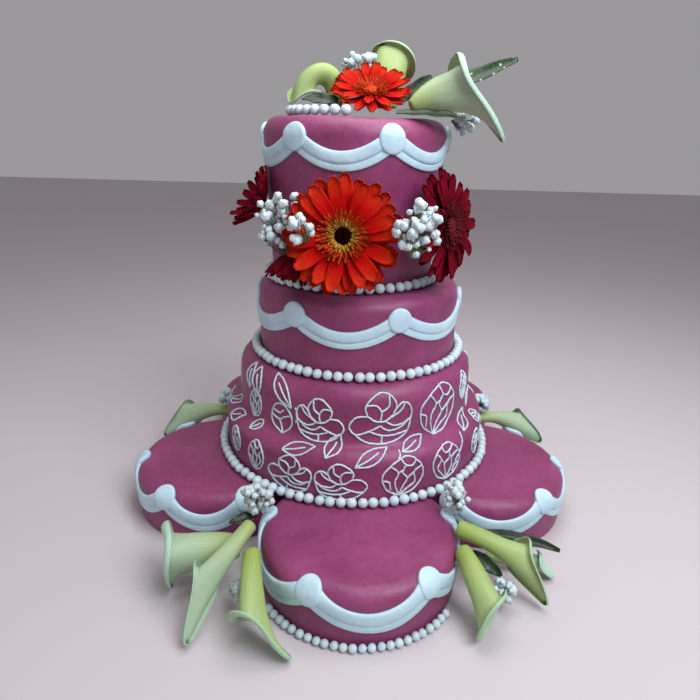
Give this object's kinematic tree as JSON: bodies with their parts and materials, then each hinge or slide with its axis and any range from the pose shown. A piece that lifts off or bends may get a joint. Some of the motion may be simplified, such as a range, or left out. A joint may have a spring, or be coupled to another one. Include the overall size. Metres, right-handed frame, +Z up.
{
  "type": "wedding cake",
  "caption": "Tiered wedding cake in plum fondant on a ring of round cakes, with white swags, bead borders, piped roses and fresh flowers.",
  "frame": {"origin": "on the floor at the centre of the whole outline, below the tiers", "axes": "+Z up, -Y towards the front with the single front cake, +X to the right seen from the front"},
  "size_m": [0.4663, 0.5462, 0.4624],
  "materials": {
    "plum_fondant": "satin",
    "white_fondant": "satin",
    "orange_petal": "matte",
    "dark_red_petal": "matte",
    "calla_spathe": "satin",
    "green_leaf": "satin",
    "white_blossom": "matte"
  },
  "bodies": {
    "root": {"beads_cake_front": "white_fondant", "beads_middle_tier": "white_fondant", "beads_on_top": "white_fondant", "beads_rose_tier": "white_fondant", "beads_top_tier": "white_fondant", "blossom_back": "white_blossom", "blossom_front_left": "white_blossom", "blossom_front_left_low": "white_blossom", "blossom_front_right": "white_blossom", "blossom_front_right_low": "white_blossom", "blossom_left": "white_blossom", "blossom_right": "white_blossom", "blossom_side_left": "white_blossom", "blossom_side_left_front": "white_blossom", "blossom_side_right": "white_blossom", "blossom_top_left": "white_blossom", "blossom_top_right": "white_blossom", "cake_back_left": "plum_fondant", "cake_back_right": "plum_fondant", "cake_front": "plum_fondant", "cake_left": "plum_fondant", "cake_right": "plum_fondant", "calla_back_left": "calla_spathe", "calla_back_right": "calla_spathe", "calla_front_left_green": "calla_spathe", "calla_front_left_tube": "calla_spathe", "calla_front_left_wide": "calla_spathe", "calla_front_right_far": "calla_spathe", "calla_front_right_lower": "calla_spathe", "calla_front_right_upper": "calla_spathe", "calla_left": "calla_spathe", "calla_right": "calla_spathe", "calla_top_left": "calla_spathe", "calla_top_middle": "calla_spathe", "calla_top_right": "calla_spathe", "gerbera_orange": "orange_petal", "gerbera_red_lower_left": "dark_red_petal", "gerbera_red_right": "dark_red_petal", "gerbera_red_upper_left": "dark_red_petal", "gerbera_top": "orange_petal", "leaf_back": "green_leaf", "leaf_front_left": "green_leaf", "leaf_front_right": "green_leaf", "leaf_front_right_low": "green_leaf", "leaf_side_left": "green_leaf", "leaf_top_left": "green_leaf", "leaf_top_middle": "green_leaf", "leaf_top_right": "green_leaf", "leaf_top_strap": "green_leaf", "middle_tier": "plum_fondant", "rose_tier": "plum_fondant", "swags_cake_back_left": "white_fondant", "swags_cake_back_right": "white_fondant", "swags_cake_front": "white_fondant", "swags_cake_left": "white_fondant", "swags_cake_right": "white_fondant", "swags_middle_tier": "white_fondant", "swags_top_tier": "white_fondant", "top_tier": "plum_fondant"}
  },
  "joints": []
}
